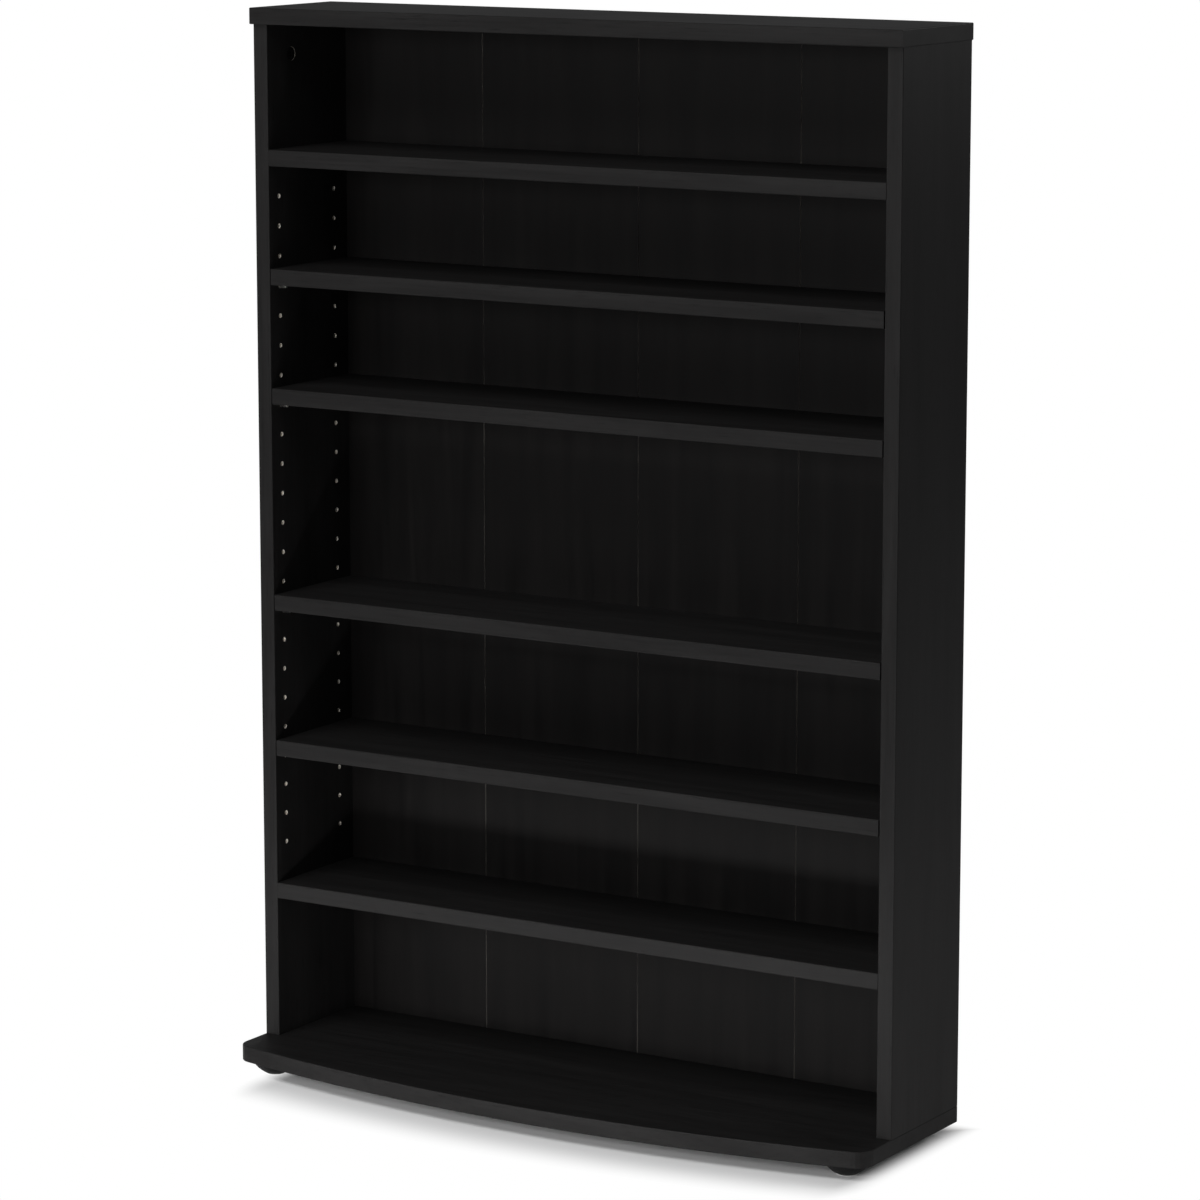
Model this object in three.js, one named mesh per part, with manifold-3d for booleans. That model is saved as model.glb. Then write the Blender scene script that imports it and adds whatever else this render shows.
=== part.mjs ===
import * as THREE from "three";
import { mergeVertices } from "three/addons/utils/BufferGeometryUtils.js";
import Module from "manifold-3d";

// An open shelf unit for disc cases. Lengths are in millimetres, Z is up and the front faces -Y.
// The origin is on the floor, under the middle of the bounding box. Left is -X.

// Boards
const boardThickness = 18;
const outerWidth = 800; // over the outer faces of the side panels
const sideDepth = 150;
const sideHeight = 1135;
const topSideOverhang = 1.5;
const topFrontOverhang = 5;
const edgeRounding = 1;

// The base runs out in front of the side panels, with a bowed front edge.
const baseReach = 100; // at the middle of the bow
const baseBow = 45; // how far the middle of the bow stands ahead of its ends
const baseCornerRadius = 20;

// The fixed shelves leave these clear heights under the top panel and over the base.
const topBayHeight = 136;
const bottomBayHeight = 159;

// Pin holes: rows count down from the top row, and each adjustable shelf lies over one row.
const topRowDrop = 34; // below the underside of the upper fixed shelf
const leastRowRise = 40; // of the lowest row, above the top of the lower fixed shelf
const rowPitch = 33;
const shelfRowShares = [0.136, 0.318, 0.636, 0.864];
const frontColumnInset = 19;
const rearColumnInset = 26;
const pinHoleRadius = 2.6;
const pinHoleDepth = 10;
const pinRadius = 2.2;
const pinEmbed = 9.5;
const pinReach = 9;
const pinChamfer = 0.5;

// Play round an adjustable shelf
const shelfEndPlay = 1.2;
const shelfRearPlay = 1.5;
const seatGap = 0.3;

// Back: four leaves of thin board with a tape over each fold
const backThickness = 3;
const backSideMargin = 2;
const backTopMargin = 3;
const backBottomMargin = 3;
const leafCount = 4;
const foldGap = 1;
const tapeWidth = 24;
const tapeThickness = 0.4;

// Glides under the base
const footHeight = 15;
const footFlangeRadius = 25;
const footFlangeDrop = 1;
const footBowlRadius = 22.5; // the bowl bulges towards this radius and drop
const footBowlDrop = 8;
const footSoleRadius = 10;
const footStemRadius = 5;
const footStemLength = 10;
const footSideInset = 35;
const footFrontReach = 31; // centre ahead of the side panels' front faces
const footRearInset = 31;

// Joint at each end of the top panel and of the fixed shelves: cam lock, cam bolt and dowel
const camInset = 45; // from the front faces of the side panels
const dowelInset = 105;
const camDistance = 34; // from the joint's face to the middle of the cam
const camRadius = 7.5;
const camDepth = 12;
const camSlotLength = 7;
const camSlotWidth = 1.4;
const camSlotDepth = 2;
const boltThreadRadius = 2.5;
const boltThreadLength = 11;
const boltShaftRadius = 3;
const boltNeckRadius = 1.8;
const boltNeckLength = 3;
const boltHeadRadius = 3.2;
const boltHeadLength = 3;
const dowelRadius = 4;
const dowelInPanel = 10;
const dowelInBoard = 19;
const dowelChamfer = 1;

// Long screws up through the base into the side panels
const screwFrontInset = 35;
const screwRearInset = 55;
const screwHeadRadius = 4.8;
const screwHeadThickness = 3;
const screwHeadSink = 1;
const screwShankRadius = 3.2;
const screwThreadRadius = 2.5;
const screwThreadLength = 32;
const screwPointLength = 3;

const fitGap = 0.4; // between a turned piece and its bore
const overcut = 1; // how far a bore's cutter stands out of the board
const weldDistance = 0.0001;

const edgeSegments = 3;
const cornerSegments = 6;
const bowSegments = 40;
const holeSides = 12;
const turnedSides = 12;
const footSides = 32;
const bowlSegments = 6;
const coordinates = 3;

const quarterTurn = Math.PI / 2;
const halfTurn = Math.PI;

// Places worked out from the sizes above
const totalDepth = baseReach + sideDepth + backThickness + tapeThickness;
const frontFace = baseReach - totalDepth / 2;
const rearFace = frontFace + sideDepth;
const backFace = rearFace + backThickness;
const halfWidth = outerWidth / 2;
const innerHalfWidth = halfWidth - boardThickness;
const baseUnderside = footHeight;
const baseTop = baseUnderside + boardThickness;
const sideTop = baseTop + sideHeight;
const topFace = sideTop + boardThickness;
const upperShelfUnderside = sideTop - topBayHeight - boardThickness;
const lowerShelfUnderside = baseTop + bottomBayHeight;
const topRow = upperShelfUnderside - topRowDrop;
const leastRow = lowerShelfUnderside + boardThickness + leastRowRise;
const lastRow = Math.floor((topRow - leastRow) / rowPitch);
const shelfRows = shelfRowShares.map((share) => Math.round(share * lastRow));
const fixedShelves = { upper: upperShelfUnderside, lower: lowerShelfUnderside };
const pinColumns = {
  front: frontFace + frontColumnInset,
  rear: rearFace - rearColumnInset,
};
const sides = { left: -1, right: 1 };

const finishes = {
  laminate: { color: 0x232021, roughness: 0.42, metalness: 0 },
  hardboard: { color: 0x1a1718, roughness: 0.6, metalness: 0 },
  tape: { color: 0x2a2626, roughness: 0.7, metalness: 0 },
  plastic: { color: 0x111111, roughness: 0.45, metalness: 0 },
  nickel: { color: 0xb9b6ae, roughness: 0.3, metalness: 1 },
  zinc: { color: 0x8d8f92, roughness: 0.45, metalness: 1 },
  darkZinc: { color: 0x2e2e2f, roughness: 0.4, metalness: 1 },
  beech: { color: 0xc9a677, roughness: 0.7, metalness: 0 },
};

const wasm = await Module();
wasm.setup();

const group = new THREE.Group();
group.name = "disc_tower";

function add(name, geometry, finish, frame = new THREE.Matrix4()) {
  const material = new THREE.MeshStandardMaterial(finishes[finish]);
  const mesh = new THREE.Mesh(geometry, material);
  mesh.name = name;
  mesh.applyMatrix4(frame);
  group.add(mesh);
}

function solidOf(geometry) {
  const bare = geometry.clone();
  bare.deleteAttribute("normal");
  bare.deleteAttribute("uv");
  const welded = mergeVertices(bare, weldDistance);
  const mesh = new wasm.Mesh({
    numProp: coordinates,
    vertProperties: welded.attributes.position.array,
    triVerts: new Uint32Array(welded.index.array),
  });
  return new wasm.Manifold(mesh);
}

function geometryOf(solid) {
  const mesh = solid.getMesh();
  const indexed = new THREE.BufferGeometry();
  const places = new THREE.BufferAttribute(new Float32Array(mesh.vertProperties), coordinates);
  indexed.setAttribute("position", places);
  indexed.setIndex(new THREE.BufferAttribute(new Uint32Array(mesh.triVerts), 1));
  const faceted = indexed.toNonIndexed();
  faceted.computeVertexNormals();
  return faceted;
}

function cut(geometry, cutters) {
  if (cutters.length === 0) return geometry;
  return geometryOf(solidOf(geometry).subtract(wasm.Manifold.union(cutters)));
}

// A frame at a point with its X axis along one direction and its Z axis along another.
function frameAt(point, alongX, alongZ) {
  const x = new THREE.Vector3(...alongX);
  const z = new THREE.Vector3(...alongZ);
  const y = new THREE.Vector3().crossVectors(z, x);
  return new THREE.Matrix4().makeBasis(x, y, z).setPosition(...point);
}

function arcPoints(centreX, centreY, radius, from, to, segments) {
  const points = [];
  for (let i = 0; i <= segments; i += 1) {
    const angle = from + ((to - from) * i) / segments;
    points.push(new THREE.Vector2(centreX + radius * Math.cos(angle), centreY + radius * Math.sin(angle)));
  }
  return points;
}

// A block between two corners.
function block(low, high) {
  const size = high.map((value, axis) => value - low[axis]);
  const middle = high.map((value, axis) => (value + low[axis]) / 2);
  return new THREE.BoxGeometry(...size).translate(...middle);
}

// A round piece turned about its local X axis from [radius, distance] pairs.
function turned(profile, segments) {
  const points = profile.map(([radius, distance]) => new THREE.Vector2(radius, distance));
  return new THREE.LatheGeometry(points, segments).rotateZ(-quarterTurn);
}

// A cutter for a round hole between two distances along a frame's X axis.
function bore(radius, from, to, frame) {
  const profile = [
    [0, from],
    [radius, from],
    [radius, to],
    [0, to],
  ];
  return solidOf(turned(profile, holeSides).applyMatrix4(frame));
}

// A board with its two front edges rounded over. In its own frame X runs back from the front edge,
// Y goes through the thickness and Z runs along the length.
function edgedBoard(length, depth, frame) {
  const r = edgeRounding;
  const outline = [
    ...arcPoints(r, r, r, halfTurn, halfTurn + quarterTurn, edgeSegments),
    new THREE.Vector2(depth, 0),
    new THREE.Vector2(depth, boardThickness),
    ...arcPoints(r, boardThickness - r, r, quarterTurn, halfTurn, edgeSegments),
  ];
  const shape = new THREE.Shape(outline);
  const geometry = new THREE.ExtrudeGeometry(shape, { depth: length, bevelEnabled: false });
  return geometry.applyMatrix4(frame);
}

// A level board of any outline, with all its edges rounded over.
function easedPlate(outline, underside) {
  const geometry = new THREE.ExtrudeGeometry(new THREE.Shape(outline), {
    depth: boardThickness - edgeRounding * 2,
    bevelEnabled: true,
    bevelThickness: edgeRounding,
    bevelSize: edgeRounding,
    bevelOffset: -edgeRounding,
    bevelSegments: edgeSegments,
  });
  return geometry.translate(0, 0, underside + edgeRounding);
}

// Bores are gathered for each board before the boards are made.
const bores = {
  top_panel: [],
  side_panel_left: [],
  side_panel_right: [],
  base_panel: [],
  fixed_shelf_upper: [],
  fixed_shelf_lower: [],
};

// Cam joints: local X points from the panel that holds the bolt into the board that holds the cam,
// and local Z points away from the face that the cam opens on.
const camHoleDepth = camDepth + fitGap;
const camBoreRadius = camRadius + fitGap;
const camFace = -boardThickness / 2;

function camGeometry() {
  const body = new THREE.CylinderGeometry(camRadius, camRadius, camDepth, turnedSides);
  body.rotateX(quarterTurn).translate(camDistance, 0, camFace + camDepth / 2);
  const room = boltHeadRadius + fitGap;
  const channel = block(
    [camDistance - camRadius - overcut, -room, -room],
    [camDistance + boltHeadLength, room, camFace + camDepth + overcut],
  );
  const long = camSlotLength / 2;
  const wide = camSlotWidth / 2;
  const slotFloor = camFace + camSlotDepth;
  const slots = [
    block([camDistance - long, -wide, camFace - overcut], [camDistance + long, wide, slotFloor]),
    block([camDistance - wide, -long, camFace - overcut], [camDistance + wide, long, slotFloor]),
  ];
  return cut(body, [channel, ...slots].map(solidOf));
}

function boltGeometry() {
  const headStart = camDistance - boltHeadLength / 2;
  const neckStart = headStart - boltNeckLength;
  const profile = [
    [0, -boltThreadLength],
    [boltThreadRadius, -boltThreadLength],
    [boltThreadRadius, fitGap],
    [boltShaftRadius, fitGap],
    [boltShaftRadius, neckStart],
    [boltNeckRadius, neckStart],
    [boltNeckRadius, headStart],
    [boltHeadRadius, headStart],
    [boltHeadRadius, headStart + boltHeadLength],
    [0, headStart + boltHeadLength],
  ];
  return turned(profile, turnedSides);
}

function pegGeometry(radius, from, to, chamfer) {
  const profile = [
    [0, from],
    [radius - chamfer, from],
    [radius, from + chamfer],
    [radius, to - chamfer],
    [radius - chamfer, to],
    [0, to],
  ];
  return turned(profile, turnedSides);
}

const cam = camGeometry();
const bolt = boltGeometry();
const dowel = pegGeometry(dowelRadius, -dowelInPanel, dowelInBoard, dowelChamfer);

function camJoint(name, panel, board, place, into, away) {
  const camFrame = frameAt(place(frontFace + camInset), into, away);
  const dowelFrame = frameAt(place(frontFace + dowelInset), into, away);
  add(`cam_lock_${name}`, cam, "darkZinc", camFrame);
  add(`cam_bolt_${name}`, bolt, "nickel", camFrame);
  add(`dowel_${name}`, dowel, "beech", dowelFrame);
  const dowelBore = dowelRadius + fitGap;
  bores[panel].push(bore(boltThreadRadius + fitGap, -boltThreadLength - fitGap, overcut, camFrame));
  bores[panel].push(bore(dowelBore, -dowelInPanel - fitGap, overcut, dowelFrame));
  bores[board].push(bore(boltShaftRadius + overcut, -overcut, camDistance, camFrame));
  bores[board].push(bore(dowelBore, -overcut, dowelInBoard + fitGap, dowelFrame));
  const camHoleLength = camHoleDepth + overcut;
  const camHole = new THREE.CylinderGeometry(camBoreRadius, camBoreRadius, camHoleLength, turnedSides);
  camHole.rotateX(quarterTurn).translate(camDistance, 0, camFace + (camHoleDepth - overcut) / 2);
  bores[board].push(solidOf(camHole.applyMatrix4(camFrame)));
}

for (const [side, sign] of Object.entries(sides)) {
  const panel = `side_panel_${side}`;
  const panelMiddle = sign * (halfWidth - boardThickness / 2);
  const onTop = (y) => [panelMiddle, y, sideTop];
  camJoint(`top_${side}`, "top_panel", panel, onTop, [0, 0, -1], [sign, 0, 0]);
  for (const [level, underside] of Object.entries(fixedShelves)) {
    const shelfMiddle = underside + boardThickness / 2;
    const onInside = (y) => [sign * innerHalfWidth, y, shelfMiddle];
    camJoint(`${level}_${side}`, panel, `fixed_shelf_${level}`, onInside, [-sign, 0, 0], [0, 0, 1]);
  }
}

// Screws: local X points up from the underside of the base.
const screwHeadTop = screwHeadSink + screwHeadThickness;
const screwTip = boardThickness + screwThreadLength;
const screw = turned(
  [
    [0, screwHeadSink],
    [screwHeadRadius, screwHeadSink],
    [screwHeadRadius, screwHeadTop],
    [screwShankRadius, screwHeadTop],
    [screwShankRadius, boardThickness - fitGap],
    [screwThreadRadius, boardThickness - fitGap],
    [screwThreadRadius, screwTip - screwPointLength],
    [0, screwTip],
  ],
  turnedSides,
);
const screwPlaces = { front: frontFace + screwFrontInset, rear: rearFace - screwRearInset };
for (const [side, sign] of Object.entries(sides)) {
  for (const [row, y] of Object.entries(screwPlaces)) {
    const x = sign * (halfWidth - boardThickness / 2);
    const frame = frameAt([x, y, baseUnderside], [0, 0, 1], [1, 0, 0]);
    add(`base_screw_${row}_${side}`, screw, "zinc", frame);
    bores.base_panel.push(bore(screwHeadRadius + fitGap, -overcut, screwHeadTop + fitGap, frame));
    bores.base_panel.push(bore(screwShankRadius + fitGap, 0, boardThickness + overcut, frame));
    const panelBore = bore(screwThreadRadius + fitGap, boardThickness - overcut, screwTip + fitGap, frame);
    bores[`side_panel_${side}`].push(panelBore);
  }
}

// Glides: local X points down from the underside of the base, so the stem is on its minus side.
const bowl = new THREE.QuadraticBezierCurve(
  new THREE.Vector2(footFlangeRadius, footFlangeDrop),
  new THREE.Vector2(footBowlRadius, footBowlDrop),
  new THREE.Vector2(footSoleRadius, footHeight),
);
const foot = turned(
  [
    [0, -footStemLength],
    [footStemRadius, -footStemLength],
    [footStemRadius, 0],
    [footFlangeRadius, 0],
    ...bowl.getPoints(bowlSegments).map((point) => [point.x, point.y]),
    [0, footHeight],
  ],
  footSides,
);
const footPlaces = { front: frontFace - footFrontReach, rear: rearFace - footRearInset };
for (const [side, sign] of Object.entries(sides)) {
  for (const [row, y] of Object.entries(footPlaces)) {
    const x = sign * (halfWidth - footSideInset);
    const frame = frameAt([x, y, baseUnderside], [0, 0, -1], [1, 0, 0]);
    add(`foot_${row}_${side}`, foot, "plastic", frame);
    bores.base_panel.push(bore(footStemRadius + fitGap, -footStemLength - fitGap, overcut, frame));
  }
}

// Pins: local X points out of the side panel into the shelf space.
const pin = pegGeometry(pinRadius, -pinEmbed, pinReach, pinChamfer);

function rowHeight(row) {
  return topRow - row * rowPitch;
}

for (const [side, sign] of Object.entries(sides)) {
  for (const [column, y] of Object.entries(pinColumns)) {
    const placeOfRow = (row) => [sign * innerHalfWidth, y, rowHeight(row)];
    const frameOfRow = (row) => frameAt(placeOfRow(row), [-sign, 0, 0], [0, 0, 1]);
    for (let row = 0; row <= lastRow; row += 1) {
      const hole = bore(pinHoleRadius, -pinHoleDepth, overcut, frameOfRow(row));
      bores[`side_panel_${side}`].push(hole);
    }
    shelfRows.forEach((row, index) => {
      add(`shelf_pin_${index + 1}_${column}_${side}`, pin, "nickel", frameOfRow(row));
    });
  }
}

// Side panels
for (const [side, sign] of Object.entries(sides)) {
  const outerX = sign * halfWidth;
  const innerX = sign * innerHalfWidth;
  const frame = frameAt([Math.max(outerX, innerX), frontFace, baseTop], [0, 1, 0], [0, 0, 1]);
  const name = `side_panel_${side}`;
  add(name, cut(edgedBoard(sideHeight, sideDepth, frame), bores[name]), "laminate");
}

// Shelves
function shelfFrame(halfLength, underside) {
  return frameAt([-halfLength, frontFace, underside], [0, 1, 0], [1, 0, 0]);
}

for (const [level, underside] of Object.entries(fixedShelves)) {
  const name = `fixed_shelf_${level}`;
  const shelf = edgedBoard(innerHalfWidth * 2, sideDepth, shelfFrame(innerHalfWidth, underside));
  add(name, cut(shelf, bores[name]), "laminate");
}

shelfRows.forEach((row, index) => {
  const halfLength = innerHalfWidth - shelfEndPlay;
  const underside = rowHeight(row) + pinRadius + seatGap;
  const shelf = edgedBoard(halfLength * 2, sideDepth - shelfRearPlay, shelfFrame(halfLength, underside));
  add(`adjustable_shelf_${index + 1}`, shelf, "laminate");
});

// Top panel
const topHalfWidth = halfWidth + topSideOverhang;
const topOutline = [
  new THREE.Vector2(-topHalfWidth, frontFace - topFrontOverhang),
  new THREE.Vector2(topHalfWidth, frontFace - topFrontOverhang),
  new THREE.Vector2(topHalfWidth, rearFace),
  new THREE.Vector2(-topHalfWidth, rearFace),
];
add("top_panel", cut(easedPlate(topOutline, sideTop), bores.top_panel), "laminate");

// Base panel: the corners are arcs that run smoothly into the bow.
const bowRadius = (halfWidth * halfWidth + baseBow * baseBow) / (baseBow * 2);
const bowCentreY = frontFace - baseReach + bowRadius;
const cornerX = halfWidth - baseCornerRadius;
const cornerReach = bowRadius - baseCornerRadius;
const cornerY = bowCentreY - Math.sqrt(cornerReach * cornerReach - cornerX * cornerX);
const bowAngle = Math.asin(cornerX / cornerReach);
const straightDown = halfTurn + quarterTurn;
const bowStart = straightDown - bowAngle;
const bowEnd = straightDown + bowAngle;
const leftCorner = arcPoints(-cornerX, cornerY, baseCornerRadius, halfTurn, bowStart, cornerSegments);
const bow = arcPoints(0, bowCentreY, bowRadius, bowStart, bowEnd, bowSegments);
const rightCorner = arcPoints(cornerX, cornerY, baseCornerRadius, bowEnd, halfTurn * 2, cornerSegments);
const baseOutline = [
  new THREE.Vector2(-halfWidth, rearFace),
  ...leftCorner,
  ...bow.slice(1, -1),
  ...rightCorner,
  new THREE.Vector2(halfWidth, rearFace),
];
add("base_panel", cut(easedPlate(baseOutline, baseUnderside), bores.base_panel), "laminate");

// Back leaves and the tapes over their folds
const backLow = baseUnderside + backBottomMargin;
const backHigh = topFace - backTopMargin;
const leafPitch = outerWidth / leafCount;
for (let leaf = 0; leaf < leafCount; leaf += 1) {
  const left = leaf === 0 ? backSideMargin : foldGap / 2;
  const right = leaf === leafCount - 1 ? backSideMargin : foldGap / 2;
  const from = -halfWidth + leafPitch * leaf;
  const low = [from + left, rearFace, backLow];
  const high = [from + leafPitch - right, backFace, backHigh];
  add(`back_leaf_${leaf + 1}`, block(low, high), "hardboard");
}
for (let fold = 1; fold < leafCount; fold += 1) {
  const x = -halfWidth + leafPitch * fold;
  const low = [x - tapeWidth / 2, backFace, backLow];
  const high = [x + tapeWidth / 2, backFace + tapeThickness, backHigh];
  add(`fold_tape_${fold}`, block(low, high), "tape");
}

export default group;
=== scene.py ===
import bmesh
import bpy
import math
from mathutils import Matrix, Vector

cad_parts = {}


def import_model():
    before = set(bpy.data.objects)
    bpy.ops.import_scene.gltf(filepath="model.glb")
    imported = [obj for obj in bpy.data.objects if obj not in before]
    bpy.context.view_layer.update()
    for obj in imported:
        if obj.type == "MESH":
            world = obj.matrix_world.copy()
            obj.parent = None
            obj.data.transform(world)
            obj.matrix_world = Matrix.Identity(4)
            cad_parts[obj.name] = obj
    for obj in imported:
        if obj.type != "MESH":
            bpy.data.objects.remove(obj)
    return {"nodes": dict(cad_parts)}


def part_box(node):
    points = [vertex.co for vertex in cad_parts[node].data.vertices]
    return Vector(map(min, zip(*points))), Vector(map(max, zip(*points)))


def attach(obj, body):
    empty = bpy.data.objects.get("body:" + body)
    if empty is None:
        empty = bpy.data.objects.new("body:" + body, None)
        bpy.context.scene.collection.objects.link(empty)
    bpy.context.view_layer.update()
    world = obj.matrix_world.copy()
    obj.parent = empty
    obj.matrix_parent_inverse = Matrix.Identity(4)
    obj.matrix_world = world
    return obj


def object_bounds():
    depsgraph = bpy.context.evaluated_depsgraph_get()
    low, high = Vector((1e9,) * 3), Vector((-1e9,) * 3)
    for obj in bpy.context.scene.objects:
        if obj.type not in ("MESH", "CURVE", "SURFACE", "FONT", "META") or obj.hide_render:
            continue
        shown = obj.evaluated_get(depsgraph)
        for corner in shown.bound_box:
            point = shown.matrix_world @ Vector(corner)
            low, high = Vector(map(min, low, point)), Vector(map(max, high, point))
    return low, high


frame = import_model()
nodes = frame["nodes"]
cad_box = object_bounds()

# Lengths are in metres. Boards run along X or Z, and the front faces -Y.
AXIS_X = 0
AXIS_Z = 2

# Camera, fitted to the straight edges of the cabinet. Its angles are in radians, and its lens and
# sensor in millimetres.
CAMERA_PLACE = (2.6151, -4.2111, 1.4577)
CAMERA_YAW = 0.5511
CAMERA_PITCH = 0.1783
CAMERA_LENS = 140.9
SENSOR_WIDTH = 36.0

# Faces that meet at less than this angle are shaded as one rounded surface.
SMOOTH_ANGLE = math.radians(35.0)

# A face looks along an axis when its normal has more than this share of it.
FACING_SHARE = 0.5

# The rounded edges of a board lie nearer to its surface than this, and the walls of its bores deeper.
EDGE_DEPTH = 0.0012

# The bores for the front glides' stems reach less than this far ahead of the glides' middle.
STEM_REACH = 0.006

# The back's outer edges lie nearer to the part's sides than this, and its folds further in.
FOLD_MARGIN = 0.01

# Nails round the rear of the back. The rings of a head are shares of its radius and of its rise.
# Along the top panel and the base, the nails stand at shares of each leaf's width.
NAIL_RADIUS = 0.0028
NAIL_RISE = 0.0003
NAIL_SIDES = 16
NAIL_SPACING = 0.11
NAIL_INSET = 0.0075
NAIL_RING_SHARES = ((1.0, 0.0), (0.96, 0.45), (0.75, 0.85), (0.4, 1.0))
NAIL_PLACE_SHARES = (1 / 3, 2 / 3)

# The glides' pale soles end at this height, and run into the black over this much to each side.
SOLE_HEIGHT = 0.0008
SOLE_BLEND = 0.0002

# Depth of the fine relief in each surface
FOIL_RELIEF = 0.00012
CHIP_RELIEF = 0.0002
PRINT_RELIEF = 0.00008
SCREEN_RELIEF = 0.0002
FOLD_RELIEF = 0.0001
TAPE_RELIEF = 0.0002
PLASTIC_RELIEF = 0.0001
METAL_RELIEF = 0.00006
WOOD_RELIEF = 0.0001

# The floor keeps its light and shadow under the base and turns plain white round it: over
# FADE_ROUND at the ends and the rear, from FADE_INSET inside the ends, and over FADE_AHEAD at the
# front. FADE_SHIFT sets the ends to the right, where the shadow falls.
FLOOR_RADIUS = 40.0
FLOOR_SIDES = 96
FADE_ROUND = 0.04
FADE_INSET = 0.045
FADE_SHIFT = 0.02
FADE_AHEAD = 0.08

# How far the middle of the base's front edge bows out ahead of its ends
BASE_BOW = 0.045

# How much of the white surroundings shows in reflections
GLOSS_SHARE = 0.15

# Light of the room, apart from the lamps
ROOM_COLOUR = (0.93, 0.96, 1.0)
ROOM_STRENGTH = 0.05
WHITE = (1.0, 1.0, 1.0)

# Lamps: where each stands, what it points at, its width and height, and its power in watts
MIDDLE = (0.0, 0.0, 0.6)
LAMPS = {
    "overhead": {"place": (-0.25, -2.2, 3.4), "target": MIDDLE, "size": (2.6, 1.8), "power": 75.0},
    "front": {"place": (-0.35, -3.4, 1.3), "target": MIDDLE, "size": (2.4, 1.0), "power": 60.0},
    "low": {"place": (-0.1, -0.5, 0.03), "target": (-0.1, 0.0, 0.03), "size": (1.3, 0.05), "power": 3.2},
    "low_right": {"place": (0.9, 0.0, 0.03), "target": (0.4, 0.0, 0.03), "size": (0.3, 0.05), "power": 0.8},
    "right": {"place": (1.2, 1.35, 1.5), "target": (0.4, 0.0, 1.3), "size": (0.4, 0.4), "power": 5.5},
    "left": {"place": (-3.2, -0.3, 0.75), "target": MIDDLE, "size": (1.6, 0.8), "power": 18.0},
    "rear": {"place": (-0.8, 3.4, 0.6), "target": MIDDLE, "size": (2.4, 1.0), "power": 50.0},
}


class Graph:
    """Adds shader nodes to one material or world."""

    def __init__(self, owner, output):
        owner.use_nodes = True
        self.tree = owner.node_tree
        self.tree.nodes.clear()
        self.output = self.tree.nodes.new(output)

    def add(self, kind, inputs=None, **settings):
        node = self.tree.nodes.new(kind)
        for key, value in settings.items():
            setattr(node, key, value)
        for key, value in (inputs or {}).items():
            self.feed(node.inputs[key], value)
        return node

    def feed(self, socket, value):
        """Links a socket to another one, or sets its constant. A colour is made opaque."""
        if isinstance(value, bpy.types.NodeSocket):
            self.tree.links.new(value, socket)
        elif socket.type == "RGBA":
            socket.default_value = (*value, 1.0)
        else:
            socket.default_value = value

    def show(self, shader):
        self.tree.links.new(shader, self.output.inputs["Surface"])

    def math(self, operation, first, second=0.0):
        return self.add("ShaderNodeMath", {0: first, 1: second}, operation=operation).outputs["Value"]

    def mix_shaders(self, factor, first, second):
        return self.add("ShaderNodeMixShader", {0: factor, 1: first, 2: second}).outputs["Shader"]


class Maker(Graph):
    """Makes one material."""

    # The Mix node has its sockets for colours behind those for numbers and vectors.
    FIRST_COLOUR = 6
    SECOND_COLOUR = 7
    MIXED_COLOUR = 2

    def __init__(self, name):
        self.material = bpy.data.materials.new(name)
        super().__init__(self.material, "ShaderNodeOutputMaterial")
        self.place = self.add("ShaderNodeTexCoord").outputs["Object"]

    def stretched(self, across, along=None, axis=AXIS_Z):
        """The place, for a pattern with so many features per metre across an axis and along it."""
        scale = [across, across, across]
        if along is not None:
            scale[axis] = along
        return self.add("ShaderNodeMapping", {"Vector": self.place, "Scale": scale}).outputs["Vector"]

    def noise(self, across, along=None, axis=AXIS_Z, detail=4.0, roughness=0.55, distortion=0.0):
        inputs = {
            "Vector": self.stretched(across, along, axis),
            "Scale": 1.0,
            "Detail": detail,
            "Roughness": roughness,
            "Distortion": distortion,
        }
        return self.add("ShaderNodeTexNoise", inputs).outputs["Fac"]

    def weave(self, scale, distortion, detail):
        """Waves along X times waves along Z, about three to the metre at a scale of 1."""
        inputs = {"Vector": self.place, "Scale": scale, "Distortion": distortion, "Detail": detail}
        waves = []
        for direction in ("X", "Z"):
            waves.append(self.add("ShaderNodeTexWave", inputs, bands_direction=direction).outputs["Fac"])
        return self.math("MULTIPLY", *waves)

    def span(self, value, low, high, to_low=0.0, to_high=1.0):
        """The value, moved from one range to another and kept inside it."""
        inputs = {"Value": value, "From Min": low, "From Max": high, "To Min": to_low, "To Max": to_high}
        return self.add("ShaderNodeMapRange", inputs).outputs["Result"]

    def blend(self, factor, first, second):
        inputs = {"Factor": factor, self.FIRST_COLOUR: first, self.SECOND_COLOUR: second}
        return self.add("ShaderNodeMix", inputs, data_type="RGBA").outputs[self.MIXED_COLOUR]

    def bump(self, height, strength, distance):
        inputs = {"Height": height, "Strength": strength, "Distance": distance}
        return self.add("ShaderNodeBump", inputs).outputs["Normal"]

    def surface(self, colour, roughness, normal, specular=0.5, metallic=0.0):
        inputs = {
            "Base Color": colour,
            "Roughness": roughness,
            "Normal": normal,
            "Specular IOR Level": specular,
            "Metallic": metallic,
        }
        self.show(self.add("ShaderNodeBsdfPrincipled", inputs).outputs["BSDF"])
        return self.material


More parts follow.
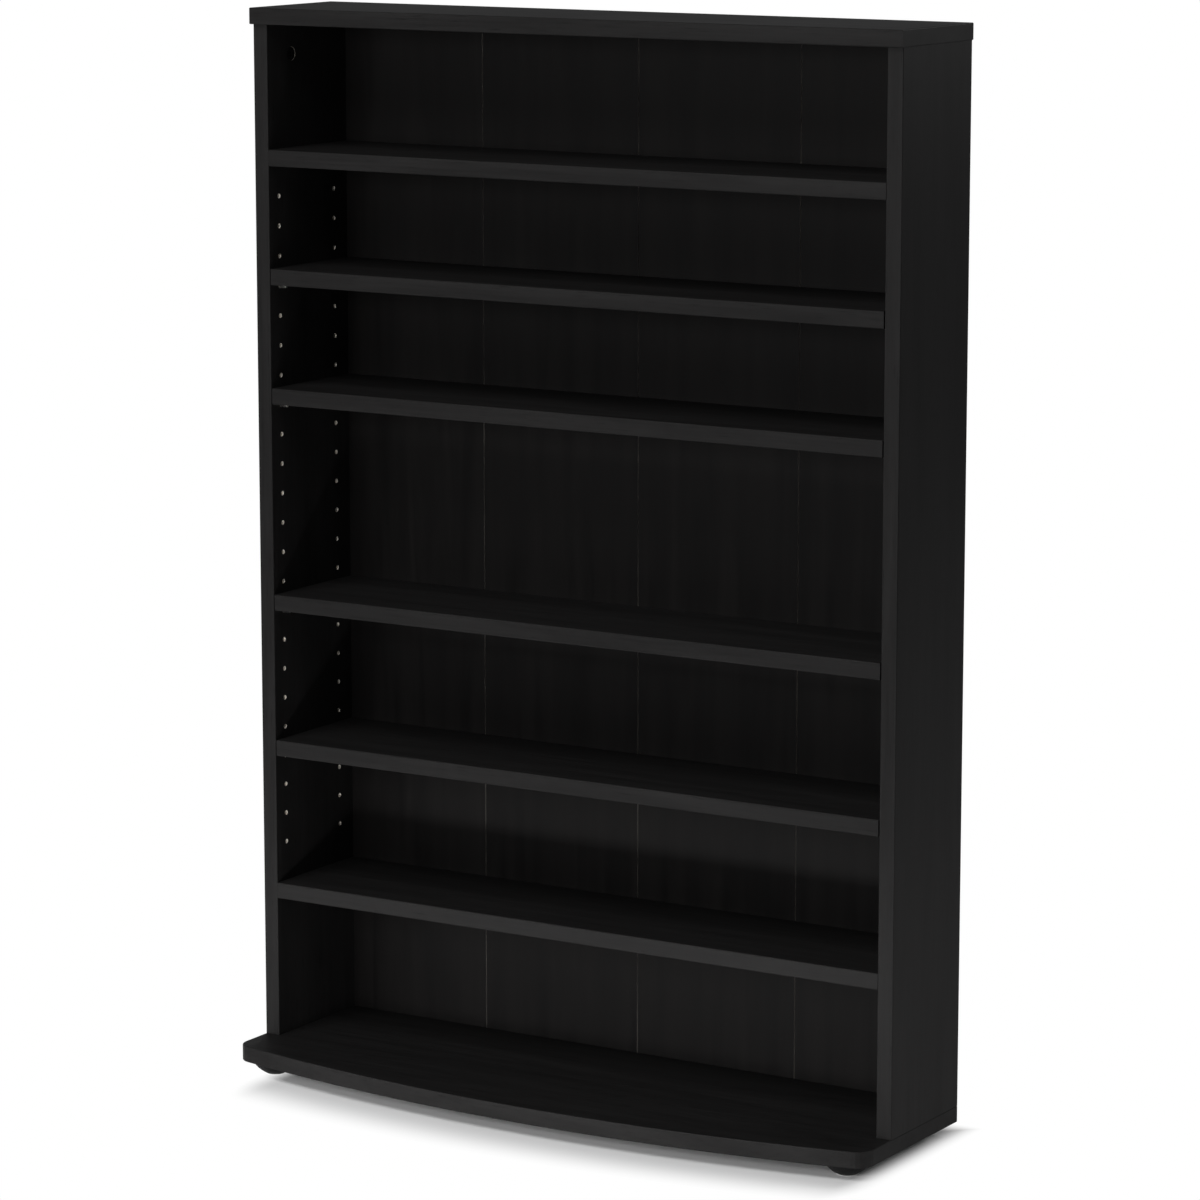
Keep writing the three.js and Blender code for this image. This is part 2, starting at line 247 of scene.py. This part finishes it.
def laminate(name, axis):
    """Satin black foil with a faint wood grain along one axis."""
    dark, light, black = (0.0073, 0.007, 0.007), (0.0142, 0.0137, 0.0136), (0.0042, 0.0041, 0.0041)
    figure_share, fibre_share, relief_share = 0.6, 0.4, 0.5
    make = Maker(name)
    figure = make.noise(across=38.0, along=2.6, axis=axis, detail=5.0, roughness=0.6, distortion=0.6)
    fibre = make.noise(across=420.0, along=9.0, axis=axis, detail=3.0)
    pore = make.noise(across=900.0, along=34.0, axis=axis, detail=2.0)
    cloud = make.noise(across=3.1, detail=3.0)
    pores = make.span(pore, low=0.6, high=0.72)
    broad = make.math("MULTIPLY", figure, figure_share)
    tone = make.math("ADD", broad, make.math("MULTIPLY", fibre, fibre_share))
    grain = make.blend(make.span(tone, low=0.34, high=0.68), dark, light)
    colour = make.blend(pores, grain, black)
    streak = make.span(fibre, low=0.3, high=0.7, to_low=0.42, to_high=0.5)
    gloss = make.math("ADD", streak, make.span(cloud, low=0.35, high=0.65, to_low=-0.02, to_high=0.03))
    height = make.math("SUBTRACT", make.math("MULTIPLY", fibre, relief_share), pores)
    normal = make.bump(height, strength=0.16, distance=FOIL_RELIEF)
    return make.surface(colour, gloss, normal, specular=0.065)


def chipboard():
    """The pale core that shows in the walls of the bores."""
    pale, brown, straw = (0.84, 0.79, 0.71), (0.62, 0.56, 0.47), (0.9, 0.87, 0.81)
    make = Maker("chipboard")
    cells = make.add("ShaderNodeTexVoronoi", {"Vector": make.stretched(across=900.0), "Scale": 1.0})
    shade = make.noise(across=600.0)
    flake = make.span(cells.outputs["Distance"], low=0.0, high=0.8)
    colour = make.blend(flake, pale, brown)
    colour = make.blend(make.span(shade, low=0.35, high=0.7), colour, straw)
    normal = make.bump(flake, strength=0.4, distance=CHIP_RELIEF)
    return make.surface(colour, roughness=0.85, normal=normal)


def printed_hardboard():
    """The dark inner face of the back, smoother and duller than the boards."""
    dark, light = (0.0034, 0.0031, 0.0031), (0.0068, 0.0062, 0.006)
    make = Maker("hardboard_front")
    figure = make.noise(across=42.0, along=3.0, detail=5.0, roughness=0.6, distortion=0.5)
    speck = make.noise(across=1300.0, detail=2.0)
    colour = make.blend(make.span(figure, low=0.35, high=0.68), dark, light)
    gloss = make.span(figure, low=0.3, high=0.7, to_low=0.48, to_high=0.56)
    normal = make.bump(speck, strength=0.1, distance=PRINT_RELIEF)
    return make.surface(colour, gloss, normal, specular=0.06)


def raw_hardboard():
    """The bare rear face of the back: pressed brown fibre with the print of a screen."""
    brown, tan = (0.115, 0.058, 0.027), (0.235, 0.132, 0.066)
    cloud_brown, fleck_brown = (0.16, 0.085, 0.042), (0.055, 0.028, 0.014)
    fibre_share = 0.6
    make = Maker("hardboard_rear")
    fibre = make.noise(across=260.0, detail=6.0, roughness=0.7)
    cloud = make.noise(across=7.0, along=5.0)
    fleck = make.noise(across=700.0, along=180.0, detail=2.0)
    colour = make.blend(make.span(fibre, low=0.32, high=0.7), brown, tan)
    colour = make.blend(make.span(cloud, low=0.35, high=0.7, to_high=0.45), colour, cloud_brown)
    colour = make.blend(make.span(fleck, low=0.64, high=0.74, to_high=0.7), colour, fleck_brown)
    screen = make.weave(scale=110.0, distortion=0.6, detail=1.0)
    height = make.math("ADD", screen, make.math("MULTIPLY", fibre, fibre_share))
    normal = make.bump(height, strength=0.35, distance=SCREEN_RELIEF)
    return make.surface(colour, roughness=0.78, normal=normal)


def fold_fibre():
    """The edges at the folds, where the print of the back has cracked to pale fibre."""
    grey, pale, soiled = (0.2, 0.19, 0.17), (0.42, 0.4, 0.37), (0.09, 0.085, 0.08)
    make = Maker("fold_fibre")
    fibre = make.noise(across=900.0, along=60.0)
    wear = make.noise(across=30.0, along=9.0, detail=3.0)
    colour = make.blend(make.span(fibre, low=0.3, high=0.7), grey, pale)
    colour = make.blend(make.span(wear, low=0.35, high=0.65, to_high=0.8), colour, soiled)
    normal = make.bump(fibre, strength=0.3, distance=FOLD_RELIEF)
    return make.surface(colour, roughness=0.85, normal=normal)


def cloth_tape():
    """Dark woven tape over the folds."""
    dark, light, soiled = (0.012, 0.011, 0.011), (0.034, 0.031, 0.03), (0.055, 0.05, 0.046)
    make = Maker("tape")
    threads = make.weave(scale=320.0, distortion=0.3, detail=2.0)
    soil = make.noise(across=40.0, along=12.0, detail=5.0)
    colour = make.blend(threads, dark, light)
    colour = make.blend(make.span(soil, low=0.5, high=0.75, to_high=0.4), colour, soiled)
    gloss = make.span(soil, low=0.3, high=0.7, to_low=0.55, to_high=0.75)
    normal = make.bump(threads, strength=0.4, distance=TAPE_RELIEF)
    return make.surface(colour, gloss, normal)


def moulded_plastic():
    """Black glide with a pale sole."""
    black, scuffed = (0.0042, 0.0041, 0.0042), (0.012, 0.012, 0.012)
    pale, worn = (0.52, 0.52, 0.5), (0.34, 0.34, 0.33)
    make = Maker("glide")
    pebble = make.noise(across=1500.0, detail=2.0)
    scuff = make.noise(across=130.0, along=420.0, detail=5.0)
    height = make.add("ShaderNodeSeparateXYZ", {"Vector": make.place}).outputs["Z"]
    body = make.blend(make.span(scuff, low=0.55, high=0.75, to_high=0.5), black, scuffed)
    sole = make.blend(make.span(scuff, low=0.4, high=0.7), pale, worn)
    is_body = make.span(height, SOLE_HEIGHT - SOLE_BLEND, SOLE_HEIGHT + SOLE_BLEND)
    colour = make.blend(is_body, sole, body)
    gloss = make.span(scuff, low=0.3, high=0.7, to_low=0.4, to_high=0.54)
    normal = make.bump(pebble, strength=0.12, distance=PLASTIC_RELIEF)
    return make.surface(colour, gloss, normal, specular=0.12)


def metal(name, dark, light, rough_low, rough_high, marks):
    """Plated metal with fine tooling marks, so many per metre, and a little tarnish."""
    make = Maker(name)
    tooling = make.noise(across=marks, detail=3.0)
    tarnish = make.noise(across=240.0)
    colour = make.blend(make.span(tarnish, low=0.3, high=0.7), dark, light)
    gloss = make.span(tooling, low=0.3, high=0.7, to_low=rough_low, to_high=rough_high)
    normal = make.bump(tooling, strength=0.12, distance=METAL_RELIEF)
    return make.surface(colour, gloss, normal, metallic=1.0)


def bright_nickel():
    """Bolts and shelf pins."""
    dark, light = (0.5, 0.48, 0.44), (0.7, 0.68, 0.64)
    return metal("nickel", dark, light, rough_low=0.22, rough_high=0.36, marks=900.0)


def plain_zinc():
    """Screws and nails."""
    dark, light = (0.36, 0.37, 0.38), (0.52, 0.53, 0.54)
    return metal("zinc", dark, light, rough_low=0.36, rough_high=0.5, marks=700.0)


def dark_zinc():
    """Cam locks."""
    dark, light = (0.02, 0.02, 0.021), (0.045, 0.045, 0.047)
    return metal("cam_zinc", dark, light, rough_low=0.34, rough_high=0.5, marks=700.0)


def bare_wood():
    """Beech dowels."""
    dark, light = (0.5, 0.31, 0.17), (0.68, 0.49, 0.3)
    make = Maker("beech")
    fibre = make.noise(across=900.0, along=160.0)
    colour = make.blend(make.span(fibre, low=0.3, high=0.7), dark, light)
    normal = make.bump(fibre, strength=0.3, distance=WOOD_RELIEF)
    return make.surface(colour, roughness=0.75, normal=normal)


lengthwise = laminate("laminate_lengthwise", AXIS_X)
upright = laminate("laminate_upright", AXIS_Z)
core = chipboard()
hardboard_front = printed_hardboard()
hardboard_rear = raw_hardboard()
fold_edge = fold_fibre()
tape = cloth_tape()
glide = moulded_plastic()
nickel = bright_nickel()
zinc = plain_zinc()
cam_zinc = dark_zinc()
beech = bare_wood()

# Pieces of one material, by how their names start
PLAIN = {
    "cam_lock": cam_zinc,
    "cam_bolt": nickel,
    "shelf_pin": nickel,
    "base_screw": zinc,
    "dowel": beech,
    "foot": glide,
    "fold_tape": tape,
}


def dress(node, materials):
    node.data.materials.clear()
    for material in materials:
        node.data.materials.append(material)


def smooth(node):
    """Soft shading over rounded edges; the vertices stay as they are."""
    node.data.shade_smooth()
    node.data.set_sharp_from_angle(angle=SMOOTH_ANGLE)
    weighted = node.modifiers.new("weighted", "WEIGHTED_NORMAL")
    weighted.keep_sharp = True


def dress_leaf(node):
    """A leaf of the back: raw behind, cracked along the folds, and printed elsewhere."""
    printed, raw, cracked = range(3)
    dress(node, [hardboard_front, hardboard_rear, fold_edge])
    for face in node.data.polygons:
        is_inner = abs(face.center.x) < cad_box[1].x - FOLD_MARGIN
        if is_inner and abs(face.normal.x) > FACING_SHARE:
            face.material_index = cracked
        elif face.normal.y > FACING_SHARE:
            face.material_index = raw
        else:
            face.material_index = printed


def dress_board(name, node):
    """A board: its core shows in the walls of its bores, and foil elsewhere."""
    foil, bare = range(2)
    dress(node, [upright if name.startswith("side_panel") else lengthwise, core])
    low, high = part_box(name)
    foremost = low.y
    if name == "base_panel":
        # The bowed edge also lies deep inside the base's box, but ahead of all its bores.
        foot_low, foot_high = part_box("foot_front_left")
        foremost = (foot_low.y + foot_high.y) / 2 - STEM_REACH
    for face in node.data.polygons:
        is_inner = all(low[i] + EDGE_DEPTH < face.center[i] < high[i] - EDGE_DEPTH for i in range(3))
        face.material_index = bare if is_inner and face.center.y > foremost else foil


for name, node in nodes.items():
    smooth(node)
    kind = next((start for start in PLAIN if name.startswith(start)), None)
    if kind:
        dress(node, [PLAIN[kind]])
    elif name.startswith("back_leaf"):
        dress_leaf(node)
    else:
        dress_board(name, node)


def nail_places():
    """Where the back is nailed: down each side, and along the top panel and the base."""
    places = []
    side_low, side_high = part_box("side_panel_left")
    column = (side_low.x + side_high.x) / 2
    leaves = [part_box(name) for name in sorted(nodes) if name.startswith("back_leaf")]
    lowest = min(low.z for low, high in leaves) + NAIL_INSET
    highest = max(high.z for low, high in leaves) - NAIL_INSET
    gaps = round((highest - lowest) / NAIL_SPACING)
    step = (highest - lowest) / gaps
    for i in range(gaps + 1):
        for x in (column, -column):
            places.append((x, lowest + i * step))
    for low, high in leaves:
        for share in NAIL_PLACE_SHARES:
            for z in (lowest, highest):
                places.append((low.x + (high.x - low.x) * share, z))
    return places


def back_nails():
    """Low domed nail heads, all one mesh."""
    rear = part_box("back_leaf_1")[1].y
    mesh = bmesh.new()
    for x, z in nail_places():
        loops = []
        for radius_share, rise_share in NAIL_RING_SHARES:
            loop = []
            for i in range(NAIL_SIDES):
                angle = 2 * math.pi * i / NAIL_SIDES
                radius = NAIL_RADIUS * radius_share
                across, up = radius * math.cos(angle), radius * math.sin(angle)
                loop.append(mesh.verts.new((x + across, rear + NAIL_RISE * rise_share, z + up)))
            loops.append(loop)
        for inner, outer in zip(loops[1:], loops):
            for i in range(NAIL_SIDES):
                j = (i + 1) % NAIL_SIDES
                mesh.faces.new((outer[j], outer[i], inner[i], inner[j]))
        mesh.faces.new(loops[0])
        mesh.faces.new(loops[-1][::-1])
    bmesh.ops.recalc_face_normals(mesh, faces=mesh.faces)
    data = bpy.data.meshes.new("back_nails")
    mesh.to_mesh(data)
    mesh.free()
    data.shade_smooth()
    nails = bpy.data.objects.new("back_nails", data)
    bpy.context.scene.collection.objects.link(nails)
    data.materials.append(zinc)
    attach(nails, "carcass")


back_nails()


def shown_white(graph):
    """How much of the white surroundings a ray shows: all to the camera and through glass."""
    path = graph.add("ShaderNodeLightPath").outputs
    seen = graph.math("ADD", path["Is Camera Ray"], path["Is Transmission Ray"])
    return graph.math("ADD", seen, graph.math("MULTIPLY", path["Is Glossy Ray"], GLOSS_SHARE))


def fade_round_base(make):
    """How white a point of the floor shows: 0 under the base's middle, and 1 well outside it."""
    low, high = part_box("base_panel")
    place = make.add("ShaderNodeSeparateXYZ", {"Vector": make.place}).outputs
    offset = make.math("ABSOLUTE", make.math("SUBTRACT", place["X"], FADE_SHIFT))
    square = make.math("MULTIPLY", place["X"], place["X"])
    rise = make.math("MULTIPLY", square, BASE_BOW / high.x**2)
    ahead = make.math("SUBTRACT", make.math("ADD", rise, low.y), place["Y"])
    behind = make.math("SUBTRACT", place["Y"], high.y)
    aside = make.math("SUBTRACT", offset, high.x - FADE_INSET)
    along = make.math("MAXIMUM", ahead)
    across = make.math("MAXIMUM", make.math("MAXIMUM", aside, behind))
    shares = {"X": make.math("DIVIDE", across, FADE_ROUND), "Y": make.math("DIVIDE", along, FADE_AHEAD)}
    apart = make.add("ShaderNodeCombineXYZ", shares).outputs["Vector"]
    length = make.add("ShaderNodeVectorMath", {0: apart}, operation="LENGTH").outputs["Value"]
    steps = make.add("ShaderNodeMapRange", {"Value": length}, interpolation_type="SMOOTHSTEP")
    return steps.outputs["Result"]


def floor():
    """A pale floor that runs out of sight and keeps the soft shadow."""
    grey, pale = (0.79, 0.79, 0.79), (0.82, 0.82, 0.82)
    mesh = bmesh.new()
    bmesh.ops.create_circle(mesh, cap_ends=True, segments=FLOOR_SIDES, radius=FLOOR_RADIUS)
    data = bpy.data.meshes.new("floor")
    mesh.to_mesh(data)
    mesh.free()
    ground = bpy.data.objects.new("floor", data)
    bpy.context.scene.collection.objects.link(ground)
    make = Maker("floor")
    colour = make.blend(make.noise(across=5.0, detail=2.0), grey, pale)
    faded = make.math("MULTIPLY", fade_round_base(make), shown_white(make))
    lit = make.add("ShaderNodeBsdfDiffuse", {"Color": colour}).outputs["BSDF"]
    white = make.add("ShaderNodeEmission", {"Color": WHITE, "Strength": 1.0}).outputs["Emission"]
    make.show(make.mix_shaders(faded, lit, white))
    data.materials.append(make.material)


def world():
    """Soft grey room light; the camera sees a white room, and reflections see a share of it."""
    room = bpy.data.worlds.new("room")
    bpy.context.scene.world = room
    graph = Graph(room, "ShaderNodeOutputWorld")
    dim = graph.add("ShaderNodeBackground", {"Color": ROOM_COLOUR, "Strength": ROOM_STRENGTH})
    white = graph.add("ShaderNodeBackground", {"Color": WHITE, "Strength": 1.0})
    shaders = dim.outputs["Background"], white.outputs["Background"]
    graph.show(graph.mix_shaders(shown_white(graph), *shaders))


def lamp(name, place, target, size, power):
    light = bpy.data.lights.new(name, "AREA")
    light.shape = "RECTANGLE"
    light.size, light.size_y = size
    light.energy = power
    fixture = bpy.data.objects.new(name, light)
    fixture.location = place
    fixture.rotation_euler = (Vector(target) - Vector(place)).to_track_quat("-Z", "Y").to_euler()
    bpy.context.scene.collection.objects.link(fixture)


def camera():
    lens = bpy.data.cameras.new("camera")
    lens.lens = CAMERA_LENS
    lens.sensor_width = SENSOR_WIDTH
    eye = bpy.data.objects.new("camera", lens)
    eye.location = CAMERA_PLACE
    eye.rotation_euler = (math.pi / 2 - CAMERA_PITCH, 0.0, CAMERA_YAW)
    bpy.context.scene.collection.objects.link(eye)
    bpy.context.scene.camera = eye


floor()
world()
for name, settings in LAMPS.items():
    lamp(name, **settings)
camera()

bpy.context.scene.view_settings.view_transform = "Standard"
